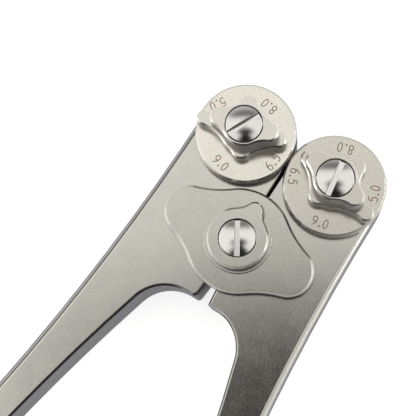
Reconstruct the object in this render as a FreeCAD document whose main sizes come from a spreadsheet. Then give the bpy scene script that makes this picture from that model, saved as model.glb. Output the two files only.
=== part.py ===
"""Plate bending pliers: two half-lapped levers, a central anvil and two turning gauge dials."""
import FreeCAD, Part
import math
import os

import Sketcher

# Driving dimensions in millimetres and degrees, with what each one sizes
SIZES = [
    ("arm_thickness", 10.0, "levers, back face to front face"),
    ("seam_play", 0.05, "half of the seam between the levers"),
    ("dial_offset", 10.0, "dial axis to the middle plane"),
    ("dial_rise", 18.65, "dial axis above the pivot"),
    ("closing_angle", 12.0, "how far the levers close"),
    ("stop_depth", 13.4, "lower end of the stop faces below the pivot"),
    ("arch_offset", 3.15, "centre of the arch under the pivot"),
    ("arch_radius", 8.4, "arch under the pivot"),
    ("flank_radius", 445.0, "hollow outer flank of a lever"),
    ("bend_drop", 65.0, "level where the flank turns into the grip"),
    ("grip_radius", 418.0, "outer curve of the grip"),
    ("grip_width", 8.6, "width of the grip at its round end"),
    ("neck_radius", 414.0, "inner curve from the arch to the handle end"),
    ("handle_drop", 166.9, "centre of the round handle end below the pivot"),
    ("outer_round", 1.4, "rounding of the outer edges of a lever"),
    ("inner_round", 0.5, "rounding of the inner edges of a lever"),
    ("stop_nose", 0.8, "rounding of the lower corner of the left stop face"),
    ("eye_radius", 9.6, "half-lapped eye of the pivot"),
    ("eye_play", 0.15, "gap round an eye"),
    ("wear_washer", 0.2, "thickness of the washer between the eyes"),
    ("wear_radius", 7.0, "outer radius of that washer"),
    ("plate_thickness", 2.4, "cover plate"),
    ("plate_core", 10.2, "round middle of the cover plate"),
    ("plate_lobe", 5.0, "end radius of a cover plate lobe"),
    ("plate_reach", 16.1, "reach of a cover plate lobe"),
    ("plate_hollow", 20.0, "hollow between middle and lobe of the cover plate"),
    ("plate_edge", 0.45, "edge break of the cover plate"),
    ("dowel_radius", 1.25, "cover plate dowel"),
    ("dowel_offset", 13.0, "cover plate dowels from the middle plane"),
    ("dowel_spread", 2.3, "cover plate dowels from the cross axis"),
    ("dowel_depth", 4.0, "dowel depth in the lever"),
    ("dowel_bite", 1.6, "dowel depth in the cover plate"),
    ("anvil_radius", 5.9, "round part of the anvil"),
    ("anvil_reach", 7.9, "reach of the anvil lobe"),
    ("anvil_tip", 1.7, "tip radius of the anvil lobe"),
    ("anvil_hollow", 4.0, "hollow beside the anvil lobe"),
    ("flange_radius", 6.45, "flange under the anvil"),
    ("flange_height", 0.6, "thickness of that flange"),
    ("key_radius", 0.7, "key pin of the anvil"),
    ("key_offset", 4.8, "key pins from the pivot"),
    ("key_bite", 1.2, "key pin depth in the cover plate and in the anvil"),
    ("work_height", 2.6, "height of anvil and gauge cams, where a bone plate lies"),
    ("work_play", 0.4, "play of a bone plate in its gauge"),
    ("gauge_one", 5.0, "first plate width"),
    ("gauge_two", 6.5, "second plate width"),
    ("gauge_three", 8.0, "third plate width"),
    ("gauge_four", 9.0, "fourth plate width"),
    ("angle_one", 194.0, "direction of the lobe for the first width, left dial"),
    ("angle_two", 13.0, "direction of the lobe for the second width"),
    ("angle_three", 112.5, "direction of the lobe for the third width"),
    ("angle_four", 291.0, "direction of the lobe for the fourth width"),
    ("cam_core", 4.9, "round middle of a gauge cam"),
    ("cam_tip", 1.5, "tip radius of the two long lobes of a gauge cam"),
    ("cam_nose", 1.9, "tip radius of the two short lobes"),
    ("cam_hollow", 3.0, "hollow flanks of the lobes of a gauge cam"),
    ("cam_sweep", 8.0, "long flank of a long lobe, on the side of the last width"),
    ("dial_radius", 9.9, "dial disc"),
    ("dial_thickness", 2.4, "dial disc with the play under it"),
    ("dial_play", 0.05, "play between lever and dial disc"),
    ("dial_edge", 0.35, "edge break of the dial disc"),
    ("knob_core", 4.25, "round part of a wing knob"),
    ("knob_reach", 6.85, "reach of the wings of a knob"),
    ("knob_tip", 1.9, "tip radius of a wing"),
    ("knob_hollow", 5.0, "hollow flank of a wing"),
    ("knob_height", 3.7, "height of a wing knob"),
    ("knob_angle", 13.0, "direction of the right wing of the left knob"),
    ("knob_edge", 0.35, "edge break of cams and knobs"),
    ("head_radius", 3.45, "screw heads"),
    ("head_gap", 0.25, "gap round a screw head"),
    ("head_height", 1.7, "screw head up to its rim"),
    ("head_dome", 0.5, "dome of a screw head"),
    ("slot_width", 1.05, "screwdriver slot"),
    ("pivot_slot", 121.0, "direction of the slot of the pivot screw"),
    ("left_slot", 63.0, "direction of the slot of the left dial screw"),
    ("right_slot", 97.0, "direction of the slot of the right dial screw"),
    ("slot_depth", 1.1, "depth of that slot below the top of the dome"),
    ("pivot_shank", 2.5, "radius of the pivot screw shank"),
    ("dial_shank", 2.0, "radius of a dial screw shank"),
    ("screw_end", 0.6, "screw end above the back face"),
    ("pivot_floor", 0.4, "lever left under the blind hole of the pivot screw"),
    ("bush_radius", 2.8, "outer radius of a dial bush"),
    ("pivot_bush", 3.5, "outer radius of the pivot bush"),
    ("bush_seat", 0.5, "depth of a dial bush in the lever"),
    ("fit", 0.03, "running fit of a shank or a bush"),
    ("spring_washer", 0.3, "spring washer under a dial screw head"),
    ("pin_radius", 0.75, "drive pin"),
    ("pin_offset", 5.4, "drive pins from the dial axis"),
    ("pin_bite", 1.5, "drive pin depth in the disc and in the knob"),
    ("detent_radius", 6.8, "detent ball from the dial axis"),
    ("detent_angle", 240.0, "direction of the detent ball, left dial"),
    ("ball_radius", 1.0, "detent ball"),
    ("ball_lift", 0.6, "how far the ball stands out of the lever"),
    ("ball_play", 0.12, "play of the ball in its groove and hole"),
    ("spring_depth", 6.0, "depth of the detent spring hole"),
    ("spring_wire", 0.2, "radius of the detent spring wire"),
    ("spring_turns", 4.0, "turns of the detent spring"),
]

doc = FreeCAD.newDocument("plate_bending_pliers")
sheet = doc.addObject("Spreadsheet::Sheet", "Sizes")
for row, (alias, value, note) in enumerate(SIZES, start=1):
    sheet.set("A%d" % row, note)
    sheet.set("B%d" % row, str(value))
    sheet.setAlias("B%d" % row, alias)
doc.recompute()

# Levels above the back face, as expressions of the sheet
HALF = "Sizes.arm_thickness / 2"
EYE_GAP = "Sizes.wear_washer / 2"
FRONT = "Sizes.arm_thickness"
TABLE = "(Sizes.arm_thickness + Sizes.plate_thickness)"
DIAL_FACE = "(Sizes.arm_thickness + Sizes.dial_thickness)"
CAM_TOP = "(%s + Sizes.work_height)" % DIAL_FACE
KNOB_TOP = "(%s + Sizes.knob_height)" % CAM_TOP
ANVIL_TOP = "(%s + Sizes.work_height)" % TABLE
BALL_LEVEL = "(Sizes.arm_thickness + Sizes.ball_lift - Sizes.ball_radius)"
# Ends of cutting tools, past the two faces of a lever
BELOW = "-1"
ABOVE = "(Sizes.arm_thickness + 1)"
PIVOT_DISTANCE = "sqrt(Sizes.dial_offset ^ 2 + Sizes.dial_rise ^ 2)"
# Reach of a gauge lobe that leaves its plate width free in front of the anvil
REACH = "(%s - Sizes.anvil_radius - Sizes.work_play - Sizes.gauge_%%s)" % PIVOT_DISTANCE

nodes = []


def number(expression):
    """Value of an expression of the sheet."""
    result = sheet.evalExpression(str(expression))
    return float(getattr(result, "Value", result))


def signed(side, expression):
    """The expression for the right side, its negative for the left side."""
    return str(expression) if side > 0 else "-(%s)" % expression


def polar(distance, angle, side=-1):
    """Expressions of x and y at a distance and an angle given for the left side."""
    across = "(%s) * cos((%s) * 1 deg)" % (distance, angle)
    along = "(%s) * sin((%s) * 1 deg)" % (distance, angle)
    return signed(-side, across), along


def new_body(label, across="0", along="0"):
    """A body whose own origin stands at the given place."""
    body = doc.addObject("PartDesign::Body", label)
    body.Label = label
    body.setExpression("Placement.Base.x", across)
    body.setExpression("Placement.Base.y", along)
    nodes.append(body)
    return body


def new_sketch(body, name, level="0", plane="XY_Plane"):
    """An empty sketch on an origin plane of its own body, lifted to a level."""
    sketch = body.newObject("Sketcher::SketchObject", body.Name + "_" + name)
    role = [item for item in body.Origin.OriginFeatures if item.Role == plane][0]
    sketch.AttachmentSupport = [(role, "")]
    sketch.MapMode = "FlatFace"
    if level != "0":
        sketch.setExpression("AttachmentOffset.Base.z", level)
    return sketch


def bind(sketch, constraint, expression):
    """Add a constraint and tie its value to an expression."""
    index = sketch.addConstraint(constraint)
    if not str(expression).replace(".", "").isdigit():
        sketch.setExpression("Constraints[%d]" % index, str(expression))
    return index


def place(sketch, geometry, position, across, along):
    """Fix a point of a sketch by its two distances from the origin."""
    for kind, expression in (("DistanceX", across), ("DistanceY", along)):
        value = number(expression)
        bind(sketch, Sketcher.Constraint(kind, -1, 1, geometry, position, value), expression)


def radius(sketch, geometry, expression):
    """Fix the radius of an arc or circle."""
    bind(sketch, Sketcher.Constraint("Radius", geometry, number(expression)), expression)


def circles(body, name, level, rounds):
    """A sketch of full circles, each given by x, y and radius."""
    sketch = new_sketch(body, name, level)
    for across, along, size in rounds:
        centre = FreeCAD.Vector(number(across), number(along), 0)
        index = sketch.addGeometry(Part.Circle(centre, FreeCAD.Vector(0, 0, 1), number(size)))
        place(sketch, index, 3, across, along)
        radius(sketch, index, size)
    return sketch


def pad(body, sketch, length):
    """Raise a sketch upwards."""
    feature = body.newObject("PartDesign::Pad", sketch.Name + "_pad")
    feature.Profile = sketch
    feature.setExpression("Length", length)
    return feature


def pocket(body, sketch, depth):
    """Cut a sketch downwards, and make sure that it takes material away."""
    doc.recompute()
    before = body.Shape.Volume
    feature = body.newObject("PartDesign::Pocket", sketch.Name + "_pocket")
    feature.Profile = sketch
    feature.setExpression("Length", depth)
    doc.recompute()
    if not body.Shape.Volume < before:
        raise RuntimeError(sketch.Name + " cuts nothing")
    return feature


def arc(sketch, centre, size, first, last, turn):
    """Add an arc from first to last, turning +1 or -1, and say which end is which."""
    start, end = (first, last) if turn > 0 else (last, first)
    circle = Part.Circle(centre, FreeCAD.Vector(0, 0, 1), size)
    index = sketch.addGeometry(Part.ArcOfCircle(circle, angle_of(centre, start),
                                                angle_of(centre, end, start)))
    return (index, 1, 2) if turn > 0 else (index, 2, 1)


def angle_of(centre, point, after=None):
    """Angle of a point round a centre, made larger than that of another point."""
    angle = math.atan2(point.y - centre.y, point.x - centre.x)
    while after is not None and angle <= angle_of(centre, after):
        angle += 2 * math.pi
    return angle


def toward(centre, point, distance):
    """The point at a distance from a centre in the direction of another point."""
    step = point - centre
    return centre + step * (distance / step.Length)


def join(sketch, kind, one, other):
    """Tie the last end of one edge to the first end of another."""
    sketch.addConstraint(Sketcher.Constraint(kind, one[0], one[2], other[0], other[1]))


def lobed(body, name, level, core, lobes):
    """A closed outline of tangent arcs: a round core with rounded lobes and hollow flanks.

    Each lobe is the x and y of its tip circle, the radius of that circle, and the radii of the
    hollow flanks on its clockwise and on its other side.
    """
    sketch = new_sketch(body, name, level)
    origin = FreeCAD.Vector(0, 0, 0)
    round_size = number(core)
    placed = []
    for across, along, tip, *hollows in lobes:
        centre = FreeCAD.Vector(number(across), number(along), 0)
        angle = math.atan2(centre.y, centre.x) % (2 * math.pi)
        placed.append((angle, centre, across, along, tip, hollows))
    placed.sort(key=lambda item: item[0])
    chains = []
    for angle, centre, across, along, tip, hollows in placed:
        size = number(tip)
        reach = centre.Length
        edges = []
        for turn, flank in zip((-1, 1), map(number, hollows)):
            far = round_size + flank
            ahead = (far ** 2 - (size + flank) ** 2 + reach ** 2) / (2 * reach)
            swing = angle + turn * math.acos(ahead / far)
            middle = FreeCAD.Vector(math.cos(swing), math.sin(swing), 0) * far
            edges.append((middle, toward(origin, middle, round_size),
                          toward(centre, middle, size), flank))
        right = arc(sketch, edges[0][0], edges[0][3], edges[0][1], edges[0][2], -1)
        nose = arc(sketch, centre, size, edges[0][2], edges[1][2], 1)
        left = arc(sketch, edges[1][0], edges[1][3], edges[1][2], edges[1][1], -1)
        place(sketch, nose[0], 3, across, along)
        radius(sketch, nose[0], tip)
        radius(sketch, right[0], hollows[0])
        radius(sketch, left[0], hollows[1])
        join(sketch, "Tangent", right, nose)
        join(sketch, "Tangent", nose, left)
        chains.append((right, left, edges[0][1], edges[1][1]))
    for index, (right, left, first, last) in enumerate(chains):
        following = chains[(index + 1) % len(chains)]
        middle = arc(sketch, origin, round_size, last, following[2], 1)
        sketch.addConstraint(Sketcher.Constraint("Coincident", middle[0], 3, -1, 1))
        radius(sketch, middle[0], core)
        join(sketch, "Tangent", left, middle)
        join(sketch, "Tangent", middle, following[0])
    return sketch


def turned(label, profile, across="0", along="0", dome=False):
    """A turned body: a closed profile of radius and level points, revolved about its axis.

    With a dome, the edge between the last two points is an arc centred on the axis.
    """
    body = new_body(label, across, along)
    sketch = new_sketch(body, "profile", plane="XZ_Plane")
    points = [FreeCAD.Vector(number(r), number(z), 0) for r, z in profile]
    edges = []
    for index, point in enumerate(points):
        following = points[(index + 1) % len(points)]
        if dome and index == len(points) - 2:
            drop = following.y - point.y
            size = (point.x ** 2 + drop ** 2) / (2 * drop)
            edges.append(arc(sketch, FreeCAD.Vector(0, following.y - size, 0), size,
                             point, following, 1))
            sketch.addConstraint(Sketcher.Constraint("PointOnObject", edges[-1][0], 3, -2))
        else:
            edges.append((sketch.addGeometry(Part.LineSegment(point, following)), 1, 2))
    for index, edge in enumerate(edges):
        join(sketch, "Coincident", edge, edges[(index + 1) % len(edges)])
    for edge, (r, z) in zip(edges, profile):
        place(sketch, edge[0], edge[1], r, z)
    feature = body.newObject("PartDesign::Revolution", label + "_turn")
    feature.Profile = sketch
    feature.ReferenceAxis = (sketch, ["V_Axis"])
    feature.Angle = 360
    return body


def tube(label, inner, outer, low, high, across="0", along="0"):
    """A plain ring or bush."""
    profile = [(inner, low), (outer, low), (outer, high), (inner, high)]
    return turned(label, profile, across, along)


def pins(label, size, low, high, places, across="0", along="0"):
    """Equal pins in one body group, as separate solids."""
    group = doc.addObject("Part::Compound", label)
    group.Label = label
    group.Links = [rod("%s_%d" % (label, index), size, low, high,
                       "%s + (%s)" % (across, x), "%s + (%s)" % (along, y))
                   for index, (x, y) in enumerate(places, start=1)]
    nodes.append(group)
    return group


def soften(body, feature_type, size, wanted):
    """Round or break the edges of a body that a test picks out."""
    doc.recompute()
    base = body.Tip
    names = ["Edge%d" % (index + 1) for index, edge in enumerate(base.Shape.Edges) if wanted(edge)]
    feature = body.newObject("PartDesign::" + feature_type, body.Name + "_" + feature_type.lower()
                             + str(len(body.Group)))
    feature.Base = (base, names)
    feature.setExpression("Radius" if feature_type == "Fillet" else "Size", size)
    doc.recompute()
    return feature


def level_edge(edge, *levels):
    """True if an edge lies flat at one of the levels."""
    box = edge.BoundBox
    return box.ZLength < 1e-6 and any(abs(box.ZMin - number(level)) < 1e-6 for level in levels)


def rod(name, size, low, high, across="0", along="0"):
    """A plain cylinder between two levels."""
    item = doc.addObject("Part::Cylinder", name)
    item.setExpression("Radius", size)
    item.setExpression("Height", "%s - (%s)" % (high, low))
    item.setExpression("Placement.Base.x", across)
    item.setExpression("Placement.Base.y", along)
    item.setExpression("Placement.Base.z", low)
    return item


def cut(name, base, tools):
    """The base with all the tools taken away, checked for a real cut."""
    result = doc.addObject("Part::Cut", name)
    result.Base = base
    result.Tool = tools[0]
    if len(tools) > 1:
        result.Tool = doc.addObject("Part::MultiFuse", name + "_tools")
        result.Tool.Shapes = tools
    doc.recompute()
    if not result.Shape.Volume < base.Shape.Volume:
        raise RuntimeError(name + " cuts nothing")
    return result


def lever_outline(body):
    """Outline of the right lever: seam, stop face, arch, neck, grip, round end, flank and head."""
    sketch = new_sketch(body, "outline")
    play = number("Sizes.seam_play")
    rise = number("Sizes.dial_rise")
    stop = number("Sizes.stop_depth")
    half = math.radians(number("Sizes.closing_angle") / 2)
    notch = number("Sizes.eye_radius") / 2
    flank, grip = number("Sizes.flank_radius"), number("Sizes.grip_radius")
    width = number("Sizes.grip_width")
    neck, bow = number("Sizes.neck_radius"), number("Sizes.arch_radius")
    head = number("Sizes.dial_offset") - play
    vector = FreeCAD.Vector

    dial = vector(number("Sizes.dial_offset"), rise, 0)
    flank_centre = vector(dial.x + head + flank, rise, 0)
    lean = math.asin((rise + number("Sizes.bend_drop")) / flank)
    away = vector(-math.cos(lean), -math.sin(lean), 0)
    bend = flank_centre + away * flank
    grip_centre = flank_centre + away * (flank + grip)
    middle = grip - width / 2
    drop = -number("Sizes.handle_drop") - grip_centre.y
    end = grip_centre + vector(math.sqrt(middle ** 2 - drop ** 2), drop, 0)
    outer_end = toward(grip_centre, end, grip)
    arch_centre = vector(number("Sizes.arch_offset"), -stop - bow, 0)
    span = end - arch_centre
    near, far = neck - bow, neck + width / 2
    swing = math.acos((near ** 2 + span.Length ** 2 - far ** 2) / (2 * near * span.Length))
    swing = math.atan2(span.y, span.x) - swing
    neck_centre = arch_centre + vector(math.cos(swing), math.sin(swing), 0) * near
    arch_end = toward(arch_centre, neck_centre, -bow)
    neck_end = toward(end, neck_centre, width / 2)
    corners = [vector(play, rise, 0), vector(play, notch, 0), vector(notch, notch, 0),
               vector(notch, -notch, 0), vector(play + notch * math.tan(half), -notch, 0),
               vector(play + stop * math.tan(half), -stop, 0), vector(arch_centre.x, -stop, 0)]

    lines = [(sketch.addGeometry(Part.LineSegment(one, two)), 1, 2)
             for one, two in zip(corners, corners[1:])]
    curves = []
    for centre, size, first, last, turn in (
            (arch_centre, bow, corners[-1], arch_end, -1),
            (neck_centre, neck, arch_end, neck_end, -1),
            (end, width / 2, neck_end, outer_end, 1),
            (grip_centre, grip, outer_end, bend, 1),
            (flank_centre, flank, bend, dial + vector(head, 0, 0), -1),
            (dial, head, dial + vector(head, 0, 0), corners[0], 1)):
        curves.append(arc(sketch, centre, size, first, last, turn))
    arch_arc, neck_arc, end_arc, outer_arc, flank_arc, head_arc = curves

    for one, two in zip(lines, lines[1:]):
        join(sketch, "Coincident", one, two)
    for one, two in zip([lines[-1]] + curves, curves + [lines[0]]):
        join(sketch, "Tangent", one, two)
    sketch.addConstraint(Sketcher.Constraint("Vertical", lines[0][0]))
    sketch.addConstraint(Sketcher.Constraint("Horizontal", lines[-1][0]))
    lap = "Sizes.eye_radius / 2"
    tilt = "tan(Sizes.closing_angle / 2 * 1 deg)"
    place(sketch, lines[1][0], 1, "Sizes.seam_play", lap)
    place(sketch, lines[2][0], 1, lap, lap)
    place(sketch, lines[3][0], 1, lap, "-(%s)" % lap)
    place(sketch, lines[4][0], 1, "Sizes.seam_play + %s * %s" % (lap, tilt), "-(%s)" % lap)
    place(sketch, lines[5][0], 1, "Sizes.seam_play + Sizes.stop_depth * " + tilt,
          "-Sizes.stop_depth")
    place(sketch, head_arc[0], 3, "Sizes.dial_offset", "Sizes.dial_rise")
    for edge, expression in ((flank_arc, "Sizes.flank_radius"), (outer_arc, "Sizes.grip_radius"),
                             (end_arc, "Sizes.grip_width / 2"), (neck_arc, "Sizes.neck_radius"),
                             (arch_arc, "Sizes.arch_radius")):
        radius(sketch, edge[0], expression)
    for edge, position, kind, expression in (
            (flank_arc, 3, "DistanceY", "Sizes.dial_rise"),
            (flank_arc, flank_arc[1], "DistanceY", "-Sizes.bend_drop"),
            (end_arc, 3, "DistanceY", "-Sizes.handle_drop"),
            (arch_arc, 3, "DistanceX", "Sizes.arch_offset")):
        value = number(expression)
        bind(sketch, Sketcher.Constraint(kind, -1, 1, edge[0], position, value), expression)
    return sketch


def round_lever(name, blank):
    """Round the outer edges of the right lever generously and all its inner edges lightly."""
    outer, inner = number("Sizes.outer_round"), number("Sizes.inner_round")
    wide = (number("Sizes.flank_radius"), number("Sizes.grip_radius"))
    varying = (number("Sizes.grip_width") / 2,
               number("Sizes.dial_offset") - number("Sizes.seam_play"))
    eye = number("Sizes.eye_radius")
    rounded = []
    for index, edge in enumerate(blank.Shape.Edges, start=1):
        if not level_edge(edge, "0", FRONT):
            continue
        first, last = inner, inner
        if isinstance(edge.Curve, Part.Circle):
            size = edge.Curve.Radius
            if any(abs(size - known) < 1e-6 for known in wide):
                first, last = outer, outer
            elif any(abs(size - known) < 1e-6 for known in varying):
                ends = [vertex.X for vertex in edge.Vertexes]
                first, last = (outer, inner) if ends[0] > ends[1] else (inner, outer)
        elif all(math.hypot(v.X, v.Y) < eye for v in edge.Vertexes):
            continue
        rounded.append((index, first, last))
    feature = doc.addObject("Part::Fillet", name)
    feature.Base = blank
    feature.Edges = rounded
    doc.recompute()
    return feature


def dial_places(side):
    """Expressions of the dial axis and of the detent ball beside it."""
    across, along = signed(side, "Sizes.dial_offset"), "Sizes.dial_rise"
    ball = polar("Sizes.detent_radius", "Sizes.detent_angle", side)
    return across, along, "%s + (%s)" % (across, ball[0]), "%s + (%s)" % (along, ball[1])


def stop_nose(blank):
    """The blank with the lower corner of its stop face rounded."""
    level, size = -number("Sizes.stop_depth"), number("Sizes.stop_nose")
    upright = []
    for index, edge in enumerate(blank.Shape.Edges, start=1):
        box = edge.BoundBox
        if max(box.XLength, box.YLength, abs(box.YMin - level)) < 1e-6:
            upright.append((box.XMin, index))
    feature = doc.addObject("Part::Fillet", "stop_nose")
    feature.Base = blank
    feature.Edges = [(min(upright)[1], size, size)]
    doc.recompute()
    return feature


def lever_blanks():
    """Both rounded levers without their holes: the left one mirrors the right, with a blunt stop."""
    body = doc.addObject("PartDesign::Body", "lever_blank")
    pad(body, lever_outline(body), FRONT)
    doc.recompute()
    right = round_lever("right_rounded", body)
    left = doc.addObject("Part::Mirroring", "left_rounded")
    left.Source = round_lever("blunt_rounded", stop_nose(body))
    left.Normal = FreeCAD.Vector(1, 0, 0)
    doc.recompute()
    return left, right


def lever(side, name, smooth):
    """One lever with its half of the pivot joint and all its holes."""
    across, along, ball_x, ball_y = dial_places(side)
    upper = side > 0
    floor = "%s - %s" % (HALF, EYE_GAP)
    roof = "%s + %s" % (HALF, EYE_GAP)
    low, high = (BELOW, roof) if upper else (floor, ABOVE)
    recess = rod(name + "_recess", "Sizes.eye_radius + Sizes.eye_play", low, high)
    open_lever = cut(name + "_lapped", smooth, [recess])
    eye = rod(name + "_eye", "Sizes.eye_radius", *((roof, FRONT) if upper else ("0", floor)))
    joined = doc.addObject("Part::Fuse", name + "_with_eye")
    joined.Base = open_lever
    joined.Tool = eye
    bore, end = ("pivot_bush", BELOW) if upper else ("pivot_shank", "Sizes.pivot_floor")
    tools = [
        rod(name + "_pivot_hole", "Sizes.%s + Sizes.fit" % bore, end, ABOVE),
        rod(name + "_dial_hole", "Sizes.dial_shank + Sizes.fit", BELOW, ABOVE, across, along),
        rod(name + "_bush_seat", "Sizes.bush_radius + Sizes.fit", FRONT + " - Sizes.bush_seat",
            ABOVE, across, along),
        rod(name + "_spring_hole", "Sizes.ball_radius + Sizes.ball_play",
            FRONT + " - Sizes.spring_depth", ABOVE, ball_x, ball_y),
    ]
    if not upper:
        for index, turn in enumerate((1, -1)):
            tools.append(rod("dowel_hole_%d" % (index + 1), "Sizes.dowel_radius + Sizes.fit",
                             FRONT + " - Sizes.dowel_depth", ABOVE,
                             "-Sizes.dowel_offset", "%d * Sizes.dowel_spread" % turn))
    result = cut(name, joined, tools)
    result.Label = name
    nodes.append(result)


def screw(name, shank, head_floor, turn, across="0", along="0"):
    """A slotted screw with a domed head; its plain shank stands for the thread."""
    rim = "%s + Sizes.head_height" % head_floor
    top = rim + " + Sizes.head_dome"
    profile = [("0", "Sizes.screw_end"), (shank, "Sizes.screw_end"), (shank, head_floor),
               ("Sizes.head_radius", head_floor), ("Sizes.head_radius", rim), ("0", top)]
    body = turned(name, profile, across, along, dome=True)
    sketch = new_sketch(body, "slot", top)
    past = "Sizes.head_radius + Sizes.head_gap"
    wide, long = number("Sizes.slot_width") / 2, number(past)
    corners = [FreeCAD.Vector(x, y, 0) for x, y in
               ((-long, -wide), (long, -wide), (long, wide), (-long, wide))]
    edges = [(sketch.addGeometry(Part.LineSegment(one, two)), 1, 2)
             for one, two in zip(corners, corners[1:] + corners[:1])]
    for one, two in zip(edges, edges[1:] + edges[:1]):
        join(sketch, "Coincident", one, two)
    for edge, kind in zip(edges, ("Horizontal", "Vertical", "Horizontal", "Vertical")):
        sketch.addConstraint(Sketcher.Constraint(kind, edge[0]))
    place(sketch, edges[0][0], 1, "-(%s)" % past, "-Sizes.slot_width / 2")
    place(sketch, edges[2][0], 1, past, "Sizes.slot_width / 2")
    pocket(body, sketch, "Sizes.slot_depth")
    body.setExpression("Placement.Rotation.Angle", turn)


def cover_plate():
    """Two-lobed plate over the pivot, dowelled to the left lever."""
    body = new_body("cover_plate")
    distance = "(Sizes.plate_reach - Sizes.plate_lobe)"
    lobes = [(sign + distance, "0", "Sizes.plate_lobe", "Sizes.plate_hollow", "Sizes.plate_hollow")
             for sign in ("", "-")]
    outline = lobed(body, "outline", FRONT, "Sizes.plate_core", lobes)
    pad(body, outline, "Sizes.plate_thickness")
    soften(body, "Chamfer", "Sizes.plate_edge", lambda edge: level_edge(edge, TABLE))
    pocket(body, circles(body, "bore", TABLE, [("0", "0", "Sizes.pivot_shank + Sizes.fit")]),
           "Sizes.plate_thickness")
    keys = [(sign + "Sizes.key_offset", "0", "Sizes.key_radius + Sizes.fit") for sign in ("", "-")]
    pocket(body, circles(body, "keys", TABLE, keys), "Sizes.key_bite")
    dowels = [("-Sizes.dowel_offset", sign + "Sizes.dowel_spread", "Sizes.dowel_radius + Sizes.fit")
              for sign in ("", "-")]
    pocket(body, circles(body, "dowels", FRONT + " + Sizes.dowel_bite", dowels), "Sizes.dowel_bite")


def anvil():
    """Central anvil: one lobe on the middle plane, a low flange, and a sunk seat for the screw."""
    body = new_body("pivot_anvil")
    pad(body, circles(body, "flange", TABLE, [("0", "0", "Sizes.flange_radius")]),
        "Sizes.flange_height")
    rise = "(Sizes.anvil_reach - Sizes.anvil_tip)"
    lobe = ("0", rise, "Sizes.anvil_tip", "Sizes.anvil_hollow", "Sizes.anvil_hollow")
    outline = lobed(body, "outline", TABLE, "Sizes.anvil_radius", [lobe])
    pad(body, outline, "Sizes.work_height")
    soften(body, "Chamfer", "Sizes.knob_edge", lambda edge: level_edge(edge, ANVIL_TOP))
    pocket(body, circles(body, "seat", ANVIL_TOP, [("0", "0", "Sizes.head_radius + Sizes.head_gap")]),
           "Sizes.head_height")
    pocket(body, circles(body, "bore", ANVIL_TOP, [("0", "0", "Sizes.pivot_shank + Sizes.fit")]),
           "Sizes.work_height")
    keys = [(sign + "Sizes.key_offset", "0", "Sizes.key_radius + Sizes.fit") for sign in ("", "-")]
    pocket(body, circles(body, "keys", TABLE + " + Sizes.key_bite", keys), "Sizes.key_bite")


def pin_places(side):
    """Expressions of the two drive pins, seen from the dial axis."""
    first = polar("Sizes.pin_offset", "Sizes.knob_angle", side)
    return [first, ("-(%s)" % first[0], "-(%s)" % first[1])]


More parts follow.
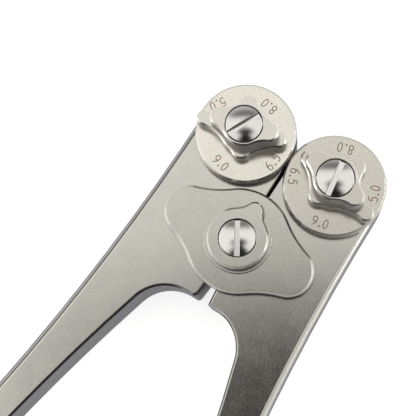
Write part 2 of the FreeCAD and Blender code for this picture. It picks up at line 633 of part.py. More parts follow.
def dial(side, name):
    """Disc, gauge cam and wing knob of one dial, with their shared drive pins."""
    across, along = signed(side, "Sizes.dial_offset"), "Sizes.dial_rise"
    bore = [("0", "0", "Sizes.bush_radius + Sizes.fit")]
    drives = [(x, y, "Sizes.pin_radius + Sizes.fit") for x, y in pin_places(side)]

    disc = new_body(name + "_dial_disc", across, along)
    under = FRONT + " + Sizes.dial_play"
    pad(disc, circles(disc, "outline", under, [("0", "0", "Sizes.dial_radius")]),
        "Sizes.dial_thickness - Sizes.dial_play")
    soften(disc, "Chamfer", "Sizes.dial_edge", lambda edge: level_edge(edge, under, DIAL_FACE))
    pocket(disc, circles(disc, "bore", DIAL_FACE, bore), "Sizes.dial_thickness")
    pocket(disc, circles(disc, "drives", DIAL_FACE, drives), "Sizes.pin_bite")
    groove = new_sketch(disc, "groove", plane="XZ_Plane")
    section = groove.addGeometry(Part.Circle(
        FreeCAD.Vector(number("Sizes.detent_radius"), number(BALL_LEVEL), 0),
        FreeCAD.Vector(0, 0, 1), number("Sizes.ball_radius + Sizes.ball_play")))
    place(groove, section, 3, "Sizes.detent_radius", BALL_LEVEL)
    radius(groove, section, "Sizes.ball_radius + Sizes.ball_play")
    ring = disc.newObject("PartDesign::Groove", name + "_ball_groove")
    ring.Profile = groove
    ring.ReferenceAxis = (groove, ["V_Axis"])
    ring.Angle = 360
    doc.recompute()

    cam = new_body(name + "_gauge_cam", across, along)
    lobes = []
    for width, tip, before, after in (("one", "tip", "hollow", "sweep"),
                                      ("two", "tip", "sweep", "hollow"),
                                      ("three", "nose", "hollow", "hollow"),
                                      ("four", "nose", "hollow", "hollow")):
        centre = polar("%s - Sizes.cam_%s" % (REACH % width, tip), "Sizes.angle_" + width, side)
        flanks = ("Sizes.cam_" + before, "Sizes.cam_" + after)
        lobes.append(centre + ("Sizes.cam_" + tip,) + (flanks if side < 0 else flanks[::-1]))
    outline = lobed(cam, "outline", DIAL_FACE, "Sizes.cam_core", lobes)
    pad(cam, outline, "Sizes.work_height")
    soften(cam, "Chamfer", "Sizes.knob_edge", lambda edge: level_edge(edge, CAM_TOP))
    pocket(cam, circles(cam, "bore", CAM_TOP, bore + drives), "Sizes.work_height")

    knob = new_body(name + "_wing_knob", across, along)
    wings = []
    for sign in ("", "-"):
        x, y = polar("Sizes.knob_reach - Sizes.knob_tip", "Sizes.knob_angle", side)
        wings.append(("%s(%s)" % (sign, x), "%s(%s)" % (sign, y), "Sizes.knob_tip",
                      "Sizes.knob_hollow", "Sizes.knob_hollow"))
    outline = lobed(knob, "outline", CAM_TOP, "Sizes.knob_core", wings)
    pad(knob, outline, "Sizes.knob_height")
    soften(knob, "Chamfer", "Sizes.knob_edge",
           lambda edge: level_edge(edge, KNOB_TOP))
    seat = circles(knob, "seat", KNOB_TOP, [("0", "0", "Sizes.head_radius + Sizes.head_gap")])
    pocket(knob, seat, "Sizes.head_height + Sizes.spring_washer + Sizes.fit")
    pocket(knob, circles(knob, "bore", KNOB_TOP, bore), "Sizes.knob_height")
    pocket(knob, circles(knob, "drives", CAM_TOP + " + Sizes.pin_bite", drives), "Sizes.pin_bite")

    pins(name + "_drive_pins", "Sizes.pin_radius", DIAL_FACE + " - Sizes.pin_bite",
         CAM_TOP + " + Sizes.pin_bite", pin_places(side), across, along)


def dial_bearing(side, name):
    """What carries one dial on its lever: screw, bush, spring washer, detent ball and spring."""
    across, along, ball_x, ball_y = dial_places(side)
    head_floor = KNOB_TOP + " - Sizes.head_height"
    screw(name + "_dial_screw", "Sizes.dial_shank", head_floor, "Sizes.%s_slot" % name,
          across, along)
    tube(name + "_dial_bush", "Sizes.dial_shank + Sizes.fit", "Sizes.bush_radius",
         FRONT + " - Sizes.bush_seat", head_floor, across, along)
    washer_floor = head_floor + " - Sizes.spring_washer"
    tube(name + "_spring_washer", "Sizes.bush_radius + Sizes.fit", "Sizes.head_radius",
         washer_floor, head_floor, across, along)
    ball = doc.addObject("Part::Sphere", name + "_detent_ball")
    ball.Label = ball.Name
    ball.setExpression("Radius", "Sizes.ball_radius")
    ball.setExpression("Placement.Base.x", ball_x)
    ball.setExpression("Placement.Base.y", ball_y)
    ball.setExpression("Placement.Base.z", BALL_LEVEL)
    nodes.append(ball)
    coil = new_body(name + "_detent_spring", ball_x, ball_y)
    wire = new_sketch(coil, "wire", plane="XZ_Plane")
    mean = "Sizes.ball_radius - Sizes.spring_wire"
    floor = FRONT + " - Sizes.spring_depth + Sizes.spring_wire"
    section = wire.addGeometry(Part.Circle(FreeCAD.Vector(number(mean), number(floor), 0),
                                           FreeCAD.Vector(0, 0, 1), number("Sizes.spring_wire")))
    place(wire, section, 3, mean, floor)
    radius(wire, section, "Sizes.spring_wire")
    # The top coil stops where the ball has narrowed to the mean radius of the coil
    seat = "sqrt(Sizes.ball_radius ^ 2 - (%s) ^ 2)" % mean
    rise = "(%s) - (%s) - (%s) - 2 * Sizes.spring_wire" % (BALL_LEVEL, floor, seat)
    helix = coil.newObject("PartDesign::AdditiveHelix", name + "_coil")
    helix.Profile = wire
    helix.ReferenceAxis = (wire, ["V_Axis"])
    helix.Mode = "height-turns-angle"
    helix.setExpression("Height", rise)
    helix.setExpression("Turns", "Sizes.spring_turns")
    doc.recompute()


for side, name, blank in zip((-1, 1), ("left", "right"), lever_blanks()):
    lever(side, name + "_arm", blank)
    dial(side, name)
    dial_bearing(side, name)
cover_plate()
anvil()
screw("pivot_screw", "Sizes.pivot_shank", ANVIL_TOP + " - Sizes.head_height", "Sizes.pivot_slot")
tube("pivot_bush", "Sizes.pivot_shank + Sizes.fit", "Sizes.pivot_bush",
     HALF + " + " + EYE_GAP, FRONT)
tube("pivot_washer", "Sizes.pivot_shank + Sizes.fit", "Sizes.wear_radius",
     HALF + " - " + EYE_GAP, HALF + " + " + EYE_GAP)
pins("plate_dowels", "Sizes.dowel_radius", FRONT + " - Sizes.dowel_depth",
     FRONT + " + Sizes.dowel_bite",
     [("-Sizes.dowel_offset", sign + "Sizes.dowel_spread") for sign in ("", "-")])
pins("anvil_keys", "Sizes.key_radius", TABLE + " - Sizes.key_bite", TABLE + " + Sizes.key_bite",
     [(sign + "Sizes.key_offset", "0") for sign in ("", "-")])
doc.recompute()

for item in doc.Objects:
    if {"Invalid", "Error"} & set(item.State):
        raise RuntimeError("%s failed: %s" % (item.Name, item.State))
os.makedirs("parts", exist_ok=True)
for node in nodes:
    shape = node.Shape
    if shape.isNull() or not shape.isValid() or not shape.Solids:
        raise RuntimeError(node.Label + " is not a valid solid")
    shape.exportStep("parts/%s.step" % node.Label)
    print("%-22s solids %d volume %9.2f" % (node.Label, len(shape.Solids), shape.Volume))
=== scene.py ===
"""Studio scene of the plate bending pliers: steel finishes, gauge numbers, floor, light and camera."""
import logging
import math
from dataclasses import dataclass, field
from enum import Enum
from functools import cache

import bmesh
import bpy
from mathutils import Matrix, Vector


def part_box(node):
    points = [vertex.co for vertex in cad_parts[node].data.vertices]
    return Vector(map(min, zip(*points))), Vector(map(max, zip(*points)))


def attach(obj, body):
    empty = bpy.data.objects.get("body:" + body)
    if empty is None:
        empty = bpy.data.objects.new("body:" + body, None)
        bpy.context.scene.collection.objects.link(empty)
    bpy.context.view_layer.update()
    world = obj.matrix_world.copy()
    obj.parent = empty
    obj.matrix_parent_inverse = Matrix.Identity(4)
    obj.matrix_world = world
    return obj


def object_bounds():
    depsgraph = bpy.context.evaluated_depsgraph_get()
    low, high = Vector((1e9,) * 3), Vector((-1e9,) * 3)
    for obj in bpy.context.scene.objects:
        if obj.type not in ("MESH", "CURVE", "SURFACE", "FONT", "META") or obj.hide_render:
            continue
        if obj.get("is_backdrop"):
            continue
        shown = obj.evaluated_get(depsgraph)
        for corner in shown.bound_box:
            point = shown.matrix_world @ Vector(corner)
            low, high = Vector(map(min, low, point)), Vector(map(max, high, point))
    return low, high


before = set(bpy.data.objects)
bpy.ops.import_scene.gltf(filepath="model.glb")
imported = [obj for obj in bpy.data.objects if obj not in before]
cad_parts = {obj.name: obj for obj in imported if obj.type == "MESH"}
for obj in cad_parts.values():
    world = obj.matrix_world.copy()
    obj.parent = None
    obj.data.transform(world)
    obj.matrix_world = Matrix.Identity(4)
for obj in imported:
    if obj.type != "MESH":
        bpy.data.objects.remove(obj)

LOG = logging.getLogger("pliers")
MM = 0.001
IMAGE_PIXELS = 416

Colour = tuple[float, float, float]


class Grain(Enum):
    """How a steel surface was finished."""

    BRUSHED = "brushed"
    BLASTED = "blasted"
    TURNED = "turned"


class Graph:
    """A small helper that adds and links nodes in one node tree."""

    def __init__(self, tree: bpy.types.NodeTree) -> None:
        """Keep the tree and start it empty.

        Args:
            tree: the node tree to fill.
        """
        self.tree = tree
        tree.nodes.clear()

    def node(self, kind: str, **settings: object) -> bpy.types.Node:
        """Add a node and set its properties.

        Args:
            kind: the node's type name.
            settings: properties of the node by name.

        Returns:
            The new node.
        """
        made = self.tree.nodes.new(kind)
        for name, value in settings.items():
            setattr(made, name, value)
        return made

    def feed(self, socket: bpy.types.NodeSocket, source: object) -> None:
        """Link an output to a socket, or set the socket's own value.

        Args:
            socket: the input to fill.
            source: an output socket or a plain value.
        """
        if isinstance(source, bpy.types.NodeSocket):
            self.tree.links.new(source, socket)
        else:
            socket.default_value = source

    def math(self, operation: str, *values: object, clamp: bool = False) -> bpy.types.NodeSocket:
        """Add a Math node.

        Args:
            operation: the node's operation.
            values: outputs or numbers for its inputs.
            clamp: True to keep the result between 0 and 1.

        Returns:
            The node's result.
        """
        made = self.node("ShaderNodeMath", operation=operation, use_clamp=clamp)
        for socket, value in zip(made.inputs, values):
            self.feed(socket, value)
        return made.outputs[0]

    def vector(self, operation: str, *values: object, output: str = "Vector") -> bpy.types.NodeSocket:
        """Add a Vector Math node.

        Args:
            operation: the node's operation.
            values: outputs or vectors for its inputs.
            output: the name of the output that is wanted.

        Returns:
            The node's result.
        """
        made = self.node("ShaderNodeVectorMath", operation=operation)
        for socket, value in zip(made.inputs, values):
            self.feed(socket, value)
        return made.outputs[output]

    def ramp(self, value: bpy.types.NodeSocket, low: float, high: float,
             start: float = 0.0, end: float = 1.0) -> bpy.types.NodeSocket:
        """Map a range of a value smoothly to another range.

        Args:
            value: the value to map.
            low: where the result starts to change.
            high: where the change is complete.
            start: the result below low.
            end: the result above high.

        Returns:
            The mapped value.
        """
        made = self.node("ShaderNodeMapRange", interpolation_type="SMOOTHSTEP")
        for socket, number in zip(made.inputs, (value, low, high, start, end)):
            self.feed(socket, number)
        return made.outputs[0]

    def mix(self, factor: object, first: object, second: object,
            blend: str = "MIX") -> bpy.types.NodeSocket:
        """Mix two colours.

        Args:
            factor: share of the second colour.
            first: the first colour or output.
            second: the second colour or output.
            blend: the blend type.

        Returns:
            The mixed colour.
        """
        made = self.node("ShaderNodeMix", data_type="RGBA", blend_type=blend)
        self.feed(made.inputs["Factor"], factor)
        for socket, value in zip((made.inputs[6], made.inputs[7]), (first, second)):
            self.feed(socket, (*value, 1.0) if isinstance(value, tuple) else value)
        return made.outputs[2]

    def noise(self, place: object, scale: float, detail: float = 2.0) -> bpy.types.NodeSocket:
        """Add a Noise Texture.

        Args:
            place: the coordinates that it reads.
            scale: its scale.
            detail: its detail.

        Returns:
            The noise value.
        """
        made = self.node("ShaderNodeTexNoise")
        for name, value in (("Vector", place), ("Scale", scale), ("Detail", detail)):
            self.feed(made.inputs[name], value)
        return made.outputs[0]


@dataclass(frozen=True)
class Wear:
    """Traces of handling and cleaning that all the steel has alike."""

    cloud_scale: float = 0.22
    cloud_from: tuple[float, float] = (0.35, 0.65)
    cloud_tones: tuple[Colour, Colour] = ((0.97, 0.97, 0.975), (1.025, 1.02, 1.01))
    cloud_roughness: float = 0.04
    speck_scale: float = 2.6
    speck_from: tuple[float, float] = (0.74, 0.80)
    speck_share: float = 0.18
    speck_colour: Colour = (0.20, 0.19, 0.18)
    edge_from: tuple[float, float] = (0.995, 0.90)
    edge_share: float = 0.12
    edge_colour: Colour = (0.86, 0.86, 0.85)
    edge_polish: float = 0.10


@dataclass(frozen=True)
class PaintedDarkReflection:
    """A painted dark reflection: a dark line on the rounding of an edge that stands for mirrored dark
    surroundings, between two slopes given as the upright share of the normal.
    """

    upper: tuple[float, float]
    lower: tuple[float, float]
    colour: Colour

    def mask(self, graph: Graph, level: bpy.types.NodeSocket) -> bpy.types.NodeSocket:
        """One on the line and zero beside it."""
        return graph.math("MULTIPLY", graph.ramp(level, *self.upper), graph.ramp(level, *self.lower))


@dataclass(frozen=True)
class SteelFinish:
    """A stainless steel surface with grain, cloudy tone, worn edges, walls darker than its faces (partly
    machined finish, partly painted shade) and painted dark reflections on edge roundings.
    """

    name: str
    face: Colour
    wall: Colour
    roughness: float
    grain: Grain = Grain.BLASTED
    grain_mm: float = 0.12
    grain_depth: float = 0.10
    grain_tone: float = 0.09
    along: float = 0.0
    brush_stretch: float = 0.35
    centre_mm: tuple[float, float] = (0.0, 0.0)
    edge_mm: float = 0.12
    wall_roughness: float = 0.42
    face_from: tuple[float, float] = (0.5, 0.8)
    # The next four settings place painted dark reflections on edge roundings: a dark line along the outer
    # roundings, and one along the inner roundings that face one side
    line: float = 0.0
    inner_side: float = 0.0
    painted_inner_share: float = 0.9
    inner_from: tuple[float, float] = (0.10, 0.20)
    grazing: Colour = (0.65, 0.65, 0.67)
    wall_from: tuple[float, float] = (0.4, 0.65)
    grain_from: tuple[float, float] = (0.3, 0.7)
    grain_roughness: float = 0.08
    grain_height_mm: float = 0.01
    wear: Wear = Wear()
    # Colours and slopes of the painted dark reflections on the outer and inner edge roundings
    outer_painted_reflection: PaintedDarkReflection = PaintedDarkReflection((0.985, 0.96), (0.86, 0.93), (0.03, 0.03, 0.03))
    inner_painted_reflection: PaintedDarkReflection = PaintedDarkReflection((0.95, 0.87), (0.10, 0.25), (0.02, 0.02, 0.02))

    @cache
    def material(self) -> bpy.types.Material:
        """Build the node material, once for each finish.

        Returns:
            The finished material.
        """
        made = bpy.data.materials.new(self.name)
        made.use_nodes = True
        graph = Graph(made.node_tree)
        place = self.millimetres(graph)
        edge, normal = self.soft_edge(graph)
        grain = self.grain_pattern(graph, place)
        cloud = graph.noise(place, self.wear.cloud_scale, 3.0)
        speck = graph.ramp(graph.noise(place, self.wear.speck_scale, 1.0), *self.wear.speck_from)
        facing = graph.node("ShaderNodeSeparateXYZ")
        coordinates = graph.node("ShaderNodeTexCoord")
        graph.feed(facing.inputs[0], coordinates.outputs["Normal"])
        level = graph.math("ABSOLUTE", facing.outputs["Z"])
        flat = graph.ramp(level, *self.face_from)
        # Masks of the painted dark reflections: a dark line on outer roundings, and one on the inner
        # roundings of one side
        line = self.outer_painted_reflection.mask(graph, level)
        inwards = graph.math("MULTIPLY", facing.outputs["X"], self.inner_side)
        inner = graph.math("MULTIPLY", self.inner_painted_reflection.mask(graph, level),
                           graph.ramp(inwards, *self.inner_from))

        # Walls take a darker colour than faces: partly their machined finish, partly painted shade for the
        # dark surroundings that they mirror
        tone = graph.mix(flat, self.wall, self.face)
        cloudy = graph.mix(graph.ramp(cloud, *self.wear.cloud_from), *self.wear.cloud_tones)
        tone = graph.mix(1.0, tone, cloudy, "MULTIPLY")
        streaks = graph.mix(graph.ramp(grain, *self.grain_from), (1.0 - self.grain_tone,) * 3,
                            (1.0 + self.grain_tone,) * 3)
        tone = graph.mix(1.0, tone, streaks, "MULTIPLY")
        # Laid over the tone: dark specks and brighter worn edges, which are real, then the two painted dark
        # reflection lines
        for mask, share, colour in ((speck, self.wear.speck_share, self.wear.speck_colour),
                                    (edge, self.wear.edge_share, self.wear.edge_colour),
                                    (line, self.line, self.outer_painted_reflection.colour),
                                    (inner, self.painted_inner_share, self.inner_painted_reflection.colour)):
            tone = graph.mix(graph.math("MULTIPLY", mask, share), tone, colour)

        rough = graph.ramp(level, *self.wall_from, self.wall_roughness, self.roughness)
        for pattern, share in ((cloud, self.wear.cloud_roughness), (grain, self.grain_roughness)):
            uneven = graph.math("MULTIPLY", graph.math("SUBTRACT", pattern, 0.5), share)
            rough = graph.math("ADD", rough, uneven)
        polished = graph.math("MULTIPLY", edge, self.wear.edge_polish)
        rough = graph.math("SUBTRACT", rough, polished, clamp=True)

        bump = graph.node("ShaderNodeBump")
        graph.feed(bump.inputs["Strength"], self.grain_depth)
        graph.feed(bump.inputs["Distance"], self.grain_height_mm * MM)
        graph.feed(bump.inputs["Height"], grain)
        graph.feed(bump.inputs["Normal"], normal)

        shader = graph.node("ShaderNodeBsdfPrincipled")
        shader.inputs["Metallic"].default_value = 1.0
        shader.inputs["Specular Tint"].default_value = (*self.grazing, 1.0)
        graph.feed(shader.inputs["Base Color"], tone)
        graph.feed(shader.inputs["Roughness"], rough)
        graph.feed(shader.inputs["Normal"], bump.outputs[0])
        output = graph.node("ShaderNodeOutputMaterial")
        graph.feed(output.inputs["Surface"], shader.outputs[0])
        return made

    def millimetres(self, graph: Graph) -> bpy.types.NodeSocket:
        """Object coordinates in millimetres, centred on the piece and turned along its grain."""
        coordinates = graph.node("ShaderNodeTexCoord")
        scaled = graph.vector("SCALE", coordinates.outputs["Object"])
        scaled.node.inputs["Scale"].default_value = 1.0 / MM
        moved = graph.vector("SUBTRACT", scaled, (*self.centre_mm, 0.0))
        turn = graph.node("ShaderNodeMapping")
        graph.feed(turn.inputs["Vector"], moved)
        turn.inputs["Rotation"].default_value = (0.0, 0.0, -math.radians(self.along))
        return turn.outputs[0]

    def soft_edge(self, graph: Graph) -> tuple[bpy.types.NodeSocket, bpy.types.NodeSocket]:
        """A mask of the edges, and a normal that rounds them.

        Returns:
            The mask and the normal.
        """
        bevel = graph.node("ShaderNodeBevel", samples=6)
        bevel.inputs["Radius"].default_value = self.edge_mm * MM
        geometry = graph.node("ShaderNodeNewGeometry")
        likeness = graph.vector("DOT_PRODUCT", bevel.outputs[0], geometry.outputs["Normal"], output="Value")
        return graph.ramp(likeness, *self.wear.edge_from), bevel.outputs[0]

    def grain_pattern(self, graph: Graph, place: bpy.types.NodeSocket) -> bpy.types.NodeSocket:
        """The fine pattern that brushing, blasting or turning leaves."""
        if self.grain is Grain.BLASTED:
            return graph.noise(place, 1.0 / self.grain_mm, 3.0)
        stretch = graph.node("ShaderNodeMapping")
        if self.grain is Grain.BRUSHED:
            graph.feed(stretch.inputs["Vector"], place)
            stretch.inputs["Scale"].default_value = (self.brush_stretch, 1.0, 1.0)
        else:
            parts = graph.node("ShaderNodeSeparateXYZ")
            graph.feed(parts.inputs[0], place)
            flat = graph.node("ShaderNodeCombineXYZ")
            graph.feed(flat.inputs["X"], parts.outputs["X"])
            graph.feed(flat.inputs["Y"], parts.outputs["Y"])
            ring = graph.node("ShaderNodeCombineXYZ")
            graph.feed(ring.inputs["X"], graph.vector("LENGTH", flat.outputs[0], output="Value"))
            graph.feed(stretch.inputs["Vector"], ring.outputs[0])
        return graph.noise(stretch.outputs[0], 1.0 / self.grain_mm, 2.0)


@dataclass(frozen=True)
class LaserMark:
    """The brown tint that a laser leaves on steel."""

    name: str = "laser_mark"
    colour: Colour = (0.20, 0.115, 0.065)
    light_colour: Colour = (0.33, 0.20, 0.12)
    blotch_scale: float = 5.0
    blotch_from: tuple[float, float] = (0.3, 0.7)
    roughness: tuple[float, float] = (0.55, 0.7)
    metallic: float = 0.3

    def material(self) -> bpy.types.Material:
        """Build the node material.

        Returns:
            The finished material.
        """
        made = bpy.data.materials.new(self.name)
        made.use_nodes = True
        graph = Graph(made.node_tree)
        coordinates = graph.node("ShaderNodeTexCoord")
        scaled = graph.vector("SCALE", coordinates.outputs["Object"])
        scaled.node.inputs["Scale"].default_value = 1.0 / MM
        blotch = graph.ramp(graph.noise(scaled, self.blotch_scale, 3.0), *self.blotch_from)
        shader = graph.node("ShaderNodeBsdfPrincipled")
        shader.inputs["Metallic"].default_value = self.metallic
        graph.feed(shader.inputs["Base Color"], graph.mix(blotch, self.colour, self.light_colour))
        graph.feed(shader.inputs["Roughness"], graph.ramp(blotch, 0.0, 1.0, *self.roughness))
        output = graph.node("ShaderNodeOutputMaterial")
        graph.feed(output.inputs["Surface"], shader.outputs[0])
        return made


@dataclass(frozen=True)
class GaugeNumber:
    """One number of a dial: its place from the dial's axis and its turn out of the ring of numbers."""

    label: str
    distance_mm: float
    angle: float
    lean: float = 0.0


@dataclass
class Dial:
    """One dial: its finishes and its four gauge numbers."""

    side: str
    numbers: tuple[GaugeNumber, ...]
    dial_face: Colour
    gauge_face: Colour
    digit_mm: float = 1.75
    spacing_mm: float = 2.15
    stroke_mm: float = 0.09
    dot_mm: float = 0.16
    dot_drop: float = 0.44
    # Wall colours darker than the faces: partly machined finish, partly painted shade
    disc_wall: Colour = (0.50, 0.49, 0.46)
    cam_wall: Colour = (0.46, 0.45, 0.43)
    knob_wall: Colour = (0.40, 0.39, 0.37)

    @property
    def centre_mm(self) -> tuple[float, float]:
        """The dial's axis, in the middle of its disc."""
        low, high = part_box(self.side + "_dial_disc")
        return (low.x + high.x) / 2 / MM, (low.y + high.y) / 2 / MM

    def finishes(self) -> dict[str, SteelFinish]:
        """The finish of each piece that shows."""
        shared = {"roughness": 0.18, "grain_mm": 0.22, "centre_mm": self.centre_mm, "wall_roughness": 0.6}
        return {
            "dial_disc": SteelFinish(self.side + "_dial_steel", self.dial_face, self.disc_wall,
                                     face_from=(0.66, 0.95), **shared),
            "gauge_cam": SteelFinish(self.side + "_cam_steel", self.gauge_face, self.cam_wall, **shared),
            "wing_knob": SteelFinish(self.side + "_knob_steel", self.gauge_face, self.knob_wall, **shared),
            "dial_screw": screw_finish(self.side + "_screw_steel", self.centre_mm),
        }

    def dress(self) -> None:
        """Give the dial's pieces their finishes and mark its numbers."""
        for piece, finish in self.finishes().items():
            paint("%s_%s" % (self.side, piece), finish)
        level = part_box(self.side + "_dial_disc")[1].z / MM
        mark = LaserMark().material()
        for index, number in enumerate(self.numbers, start=1):
            piece = self.draw(number, level)
            piece.name = "%s_number_%d" % (self.side, index)
            piece.data.materials.append(mark)
            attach(piece, self.side + "_dial")
            LOG.info("%s reads %s", piece.name, number.label)

    def draw(self, number: GaugeNumber, level: float) -> bpy.types.Object:
        """Draw one number as thin flat strokes on the face of the dial.

        Args:
            number: the number and its place.
            level: height of the face, in millimetres.

        Returns:
            The number as one mesh object.
        """
        shape = bmesh.new()
        digits = [mark for mark in number.label if mark != "."]
        for place, digit in enumerate(digits):
            shift = (place - (len(digits) - 1) / 2) * self.spacing_mm
            for stroke in DIGITS[digit]:
                add_stroke(shape, [(x * self.digit_mm + shift, y * self.digit_mm) for x, y in stroke],
                           self.stroke_mm)
        low = -self.dot_drop * self.digit_mm
        add_stroke(shape, [(-self.dot_mm, low), (self.dot_mm, low)], self.dot_mm)
        angle = math.radians(number.angle)
        turn = angle + math.radians(90.0 + number.lean)
        across, along = self.centre_mm
        middle = Vector((across + number.distance_mm * math.cos(angle),
                         along + number.distance_mm * math.sin(angle), level))
        shape.transform(Matrix.Translation(middle) @ Matrix.Rotation(turn, 4, "Z"))
        shape.transform(Matrix.Scale(MM, 4))
        return finish_mesh(shape, "number")


def arc_points(centre: tuple[float, float], radii: tuple[float, float], start: float,
               end: float, steps: int) -> list[tuple[float, float]]:
    """Points along a part of an ellipse.

    Args:
        centre: its centre.
        radii: its two radii.
        start: first angle in degrees.
        end: last angle in degrees.
        steps: number of steps.

    Returns:
        The points in order.
    """
    angles = [math.radians(start + (end - start) * step / steps) for step in range(steps + 1)]
    return [(centre[0] + radii[0] * math.cos(a), centre[1] + radii[1] * math.sin(a)) for a in angles]


# Single-stroke digits in a box one unit high, centred on the origin
DIGITS: dict[str, list[list[tuple[float, float]]]] = {
    "0": [arc_points((0.0, 0.0), (0.23, 0.5), 0, 360, 28)],
    "5": [[(0.21, 0.5), (-0.17, 0.5), (-0.21, 0.08)]
          + arc_points((-0.01, -0.17), (0.24, 0.33), 140, -140, 18)],
    "6": [arc_points((0.0, -0.2), (0.235, 0.30), 0, 360, 22),
          arc_points((0.30, -0.2), (0.535, 0.72), 180, 100, 12)],
    "8": [arc_points((0.0, 0.25), (0.19, 0.25), 0, 360, 20),
          arc_points((0.0, -0.25), (0.235, 0.26), 0, 360, 22)],
    "9": [arc_points((0.0, 0.2), (0.235, 0.30), 0, 360, 22),
          arc_points((-0.30, 0.2), (0.535, 0.72), 0, -80, 12)],
}


# Heights of a stroke's edges and of its middle above the dial, and the gap at which a stroke is closed
RIM_MM = 0.001
CROWN_MM = 0.012
CLOSED_MM = 1e-6


def add_stroke(shape: bmesh.types.BMesh, points: list[tuple[float, float]], width: float) -> None:
    """Add a flat ribbon with a slightly raised middle along a line.

    Args:
        shape: the mesh that it is added to.
        points: the line, in millimetres.
        width: half of the ribbon's width, in millimetres.
    """
    closed = (Vector(points[0]) - Vector(points[-1])).length < CLOSED_MM
    line = [Vector(p) for p in (points[:-1] if closed else points)]
    count = len(line)
    rows = []
    for index, point in enumerate(line):
        before = line[(index - 1) % count] if closed or index else point
        after = line[(index + 1) % count] if closed or index < count - 1 else point
        step = (after - before).normalized()
        side = Vector((-step.y, step.x)) * width
        rows.append([shape.verts.new((*(point + side), RIM_MM)), shape.verts.new((*point, CROWN_MM)),
                     shape.verts.new((*(point - side), RIM_MM))])
    pairs = list(zip(rows, rows[1:] + rows[:1])) if closed else list(zip(rows, rows[1:]))
    for one, two in pairs:
        for near in (0, 1):
            shape.faces.new((one[near], one[near + 1], two[near + 1], two[near]))


def finish_mesh(shape: bmesh.types.BMesh, name: str) -> bpy.types.Object:
    """Turn a bmesh into an object at the origin.

    Args:
        shape: the mesh, which is freed.
        name: the object's name.

    Returns:
        The new object.
    """
    bmesh.ops.recalc_face_normals(shape, faces=shape.faces)
    mesh = bpy.data.meshes.new(name)
    shape.to_mesh(mesh)
    shape.free()
    made = bpy.data.objects.new(name, mesh)
    bpy.context.scene.collection.objects.link(made)
    return made


def paint(node: str, finish: SteelFinish) -> None:
    """Give a node of the frame a finish.

    Args:
        node: the node's name.
        finish: what it is dressed with.
    """
    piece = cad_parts[node]
    made = finish.material()
    if not piece.material_slots:
        piece.data.materials.append(made)
    for slot in piece.material_slots:
        slot.material = made
    LOG.info("%s is dressed in %s", node, finish.name)


def screw_finish(name: str, centre_mm: tuple[float, float] = (0.0, 0.0)) -> SteelFinish:
    """The polished, turned steel of a screw.

    Args:
        name: the finish's name.
        centre_mm: the screw's axis, in millimetres.

    Returns:
        The finish.
    """
    # The wall colour is darker than the face: partly turned finish, partly painted shade
    return SteelFinish(name, (0.80, 0.79, 0.77), (0.42, 0.41, 0.40), 0.16, Grain.TURNED,
                       grain_mm=0.05, grain_depth=0.05, centre_mm=centre_mm, edge_mm=0.06)


def plain_finish(name: str, colour: Colour, roughness: float) -> SteelFinish:
    """One steel for the faces and walls of an inner piece.

    Args:
        name: the finish's name.
        colour: its colour all round.
        roughness: its roughness all round.

    Returns:
        The finish.
    """
    return SteelFinish(name, colour, colour, roughness, wall_roughness=roughness)


@dataclass(frozen=True)
class LeverSide:
    """What sets one lever apart from the other: its grain direction, and painted light on its roundings,
    lighter on the right and with a stronger painted dark reflection line on the left.
    """

    along: float
    face_from: tuple[float, float]
    line: float
    inner_side: float


@dataclass
class Levers:
    """The two levers, the cover plate with its anvil, the pivot screw and all the inner pieces."""

    lever_face: Colour = (0.64, 0.63, 0.58)
    # The wall colour is darker than the face: partly machined finish, partly painted shade
    lever_wall: Colour = (0.28, 0.275, 0.285)
    # Painted light: the left lever's roundings turn dark sooner and carry a strong painted dark line, while
    # the right's stay in face colour as a painted highlight
    sides: dict[str, LeverSide] = field(default_factory=lambda: {
        "left": LeverSide(75.0, (0.72, 0.93), 0.9, 1.0),
        "right": LeverSide(105.0, (0.5, 0.8), 0.25, -1.0)})

    def dress(self) -> None:
        """Give every piece that the levers carry its finish."""
        for side, own in self.sides.items():
            paint(side + "_arm", SteelFinish(
                side + "_lever_steel", self.lever_face, self.lever_wall, 0.18, Grain.BRUSHED,
                grain_mm=0.18, grain_depth=0.015, grain_tone=0.04, along=own.along, line=own.line,
                inner_side=own.inner_side, face_from=own.face_from, grazing=(0.48, 0.48, 0.50)))
        # Plate and anvil walls are darker than their faces: partly machined finish, partly painted shade
        paint("cover_plate", SteelFinish("cover_plate_steel", (0.60, 0.59, 0.54), (0.24, 0.24, 0.23),
                                         0.18, grain_mm=0.24))
        paint("pivot_anvil", SteelFinish("anvil_steel", (0.61, 0.60, 0.55), (0.26, 0.26, 0.25),
                                         0.18, grain_mm=0.22))
        paint("pivot_screw", screw_finish("pivot_screw_steel"))
        bearing = plain_finish("ground_bearing_steel", (0.60, 0.60, 0.59), 0.25)
        spring = plain_finish("hard_spring_steel", (0.45, 0.45, 0.46), 0.30)
        for node in ("pivot_bush", "pivot_washer", "plate_dowels", "anvil_keys"):
            paint(node, bearing)
        for side in ("left", "right"):
            for piece in ("dial_bush", "drive_pins", "detent_ball"):
                paint("%s_%s" % (side, piece), bearing)
            for piece in ("spring_washer", "detent_spring"):
                paint("%s_%s" % (side, piece), spring)


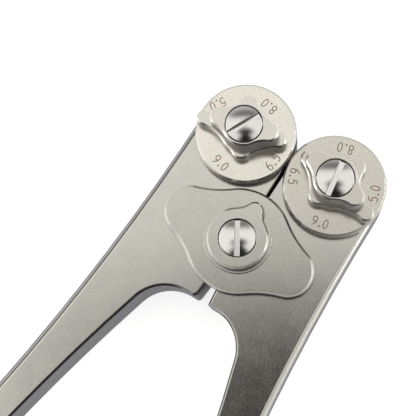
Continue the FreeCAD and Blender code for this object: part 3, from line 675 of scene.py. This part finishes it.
@dataclass
class Studio:
    """Floor, light and camera."""

    floor_reach: float = 3.0
    floor_colour: Colour = (0.55, 0.55, 0.55)
    floor_glow: float = 0.78
    focal_pixels: float = 1000.0
    sensor_mm: float = 36.0
    nearest: float = 0.01
    eye: tuple[float, float, float] = (0.0260755, -0.0196145, 0.2002452)
    to_right: tuple[float, float, float] = (0.83894, 0.53659, -0.09082)
    to_top: tuple[float, float, float] = (-0.51412, 0.83615, 0.19114)
    tent_colour: Colour = (1.0, 0.985, 0.96)
    hole_squeeze: float = 0.5
    hole_edge: tuple[float, float] = (0.055, 0.185)
    hole_level: float = 0.0
    side_reach: tuple[float, float] = (0.55, 0.92)
    far_edge: tuple[float, float] = (0.36, 0.56)
    far_level: float = 0.15
    near_edge: tuple[float, float] = (-0.12, 0.0)
    near_level: float = 0.0
    belt_top: tuple[float, float] = (0.80, 0.64)
    belt_foot: tuple[float, float] = (0.36, 0.52)
    belt_level: float = 0.7
    skyline: tuple[float, float] = (0.10, 0.15)
    skyline_colour: Colour = (1.0, 1.0, 1.0)
    lamp_size: tuple[float, float] = (0.5, 0.3)
    lamp_reach: float = 0.7
    lamp_height: float = 0.25
    lamp_watts: dict[str, float] = field(default_factory=lambda: {"left": 1.6, "right": 2.0})

    def build(self) -> None:
        """Make everything round the object."""
        self.floor()
        self.world()
        self.lamps()
        self.camera()

    def floor(self) -> None:
        """A plain pale floor that keeps the object's shadow."""
        shape = bmesh.new()
        bmesh.ops.create_grid(shape, x_segments=1, y_segments=1, size=self.floor_reach)
        made = finish_mesh(shape, "floor")
        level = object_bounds()[0].z
        made.data.transform(Matrix.Translation((0.0, 0.0, level)))
        material = bpy.data.materials.new("pale_floor")
        material.use_nodes = True
        graph = Graph(material.node_tree)
        diffuse = graph.node("ShaderNodeBsdfDiffuse")
        diffuse.inputs["Color"].default_value = (*self.floor_colour, 1.0)
        glow = graph.node("ShaderNodeEmission")
        graph.feed(glow.inputs["Strength"], graph.math("MULTIPLY", seen(graph), self.floor_glow))
        both = graph.node("ShaderNodeAddShader")
        graph.feed(both.inputs[0], diffuse.outputs[0])
        graph.feed(both.inputs[1], glow.outputs[0])
        output = graph.node("ShaderNodeOutputMaterial")
        graph.feed(output.inputs["Surface"], both.outputs[0])
        made.data.materials.append(material)
        made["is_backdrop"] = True

    def world(self) -> None:
        """A tent with two bright sides, a dark hole round the lens and a white band along the skyline."""
        world = bpy.data.worlds.new("tent")
        world.use_nodes = True
        bpy.context.scene.world = world
        graph = Graph(world.node_tree)
        direction = graph.node("ShaderNodeTexCoord").outputs["Generated"]
        across, upward = (graph.vector("DOT_PRODUCT", direction, axis, output="Value")
                          for axis in self.picture_axes())
        height = graph.vector("DOT_PRODUCT", direction, (0.0, 0.0, 1.0), output="Value")
        flatness = graph.math("SINE", graph.math("ARCCOSINE", height))
        squeezed = graph.math("MULTIPLY", across, self.hole_squeeze)
        reach = graph.math("SQRT", graph.math("ADD", graph.math("POWER", squeezed, 2.0),
                                              graph.math("POWER", upward, 2.0)))
        open_sky = graph.ramp(reach, *self.hole_edge, self.hole_level, 1.0)
        sides = graph.ramp(graph.math("DIVIDE", graph.math("ABSOLUTE", across), flatness), *self.side_reach)
        far = graph.ramp(upward, *self.far_edge, 0.0, 1.0 - self.far_level)
        near = graph.ramp(upward, *self.near_edge, 1.0 - self.near_level, 0.0)
        ends = graph.math("MULTIPLY", graph.math("ADD", far, near), graph.math("SUBTRACT", 1.0, sides))
        belt = graph.math("MULTIPLY", graph.ramp(height, *self.belt_top), graph.ramp(height, *self.belt_foot))
        belt = graph.math("MULTIPLY", belt, self.belt_level)
        ends = graph.math("MULTIPLY", ends, graph.math("SUBTRACT", 1.0, belt))
        lit = graph.math("MULTIPLY", open_sky, graph.math("SUBTRACT", 1.0, ends))
        low = graph.ramp(height, *self.skyline, 1.0, 0.0)
        back = graph.node("ShaderNodeBackground")
        graph.feed(back.inputs["Color"], graph.mix(low, self.tent_colour, self.skyline_colour))
        graph.feed(back.inputs["Strength"], graph.math("MAXIMUM", lit, low))
        output = graph.node("ShaderNodeOutputWorld")
        graph.feed(output.inputs["Surface"], back.outputs[0])

    def picture_axes(self) -> tuple[Vector, Vector]:
        """Level directions that point to the right and to the top of the picture."""
        right = Vector((*self.to_right[:2], 0.0)).normalized()
        return right, Vector((-right.y, right.x, 0.0))

    def lamps(self) -> None:
        """One soft lamp on each side of the picture."""
        right, _ = self.picture_axes()
        for side, energy in self.lamp_watts.items():
            lamp = bpy.data.lights.new(side + "_softbox", "AREA")
            lamp.shape = "RECTANGLE"
            lamp.size, lamp.size_y = self.lamp_size
            lamp.energy = energy
            made = bpy.data.objects.new(side + "_softbox", lamp)
            bpy.context.scene.collection.objects.link(made)
            reach = self.lamp_reach if side == "right" else -self.lamp_reach
            made.location = right * reach + Vector((0.0, 0.0, self.lamp_height))
            made.rotation_euler = (-made.location).to_track_quat("-Z", "Y").to_euler()

    def camera(self) -> None:
        """The camera at the photograph's place."""
        data = bpy.data.cameras.new("camera")
        data.sensor_width = self.sensor_mm
        data.lens = self.sensor_mm * self.focal_pixels / IMAGE_PIXELS
        data.clip_start = self.nearest
        made = bpy.data.objects.new("camera", data)
        bpy.context.scene.collection.objects.link(made)
        right = Vector(self.to_right).normalized()
        back = right.cross(Vector(self.to_top)).normalized()
        top = back.cross(right)
        turn = Matrix((right, top, back)).transposed().to_4x4()
        made.matrix_world = Matrix.Translation(self.eye) @ turn
        bpy.context.scene.camera = made


def seen(graph: Graph) -> bpy.types.NodeSocket:
    """One for what the camera sees, also by way of a glossy or clear surface."""
    path = graph.node("ShaderNodeLightPath")
    either = graph.math("ADD", path.outputs["Is Camera Ray"], path.outputs["Is Glossy Ray"], clamp=True)
    return graph.math("ADD", either, path.outputs["Is Transmission Ray"], clamp=True)


def main() -> None:
    """Build the scene in order."""
    logging.basicConfig(level=logging.INFO, format="%(name)s: %(message)s")
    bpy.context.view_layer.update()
    Levers().dress()
    # Both dials are of one steel; the left one is given lighter colours as painted light
    Dial("left", (GaugeNumber("5.0", 8.04, 165.0, -20.0), GaugeNumber("8.0", 6.9, 81.0, -3.0),
                  GaugeNumber("6.5", 7.9, -16.6, 10.0), GaugeNumber("9.0", 7.65, -96.9, -7.0)),
         dial_face=(0.82, 0.795, 0.72), gauge_face=(0.72, 0.70, 0.64)).dress()
    # The right dial's darker colours are painted shade
    Dial("right", (GaugeNumber("8.0", 7.5, 104.9), GaugeNumber("5.0", 7.7, 19.0),
                   GaugeNumber("6.5", 7.9, -161.1), GaugeNumber("9.0", 7.7, -79.0)),
         dial_face=(0.65, 0.63, 0.57), gauge_face=(0.63, 0.61, 0.555)).dress()
    Studio().build()
    bpy.context.scene.view_settings.view_transform = "Standard"


if __name__ == "__main__":
    main()
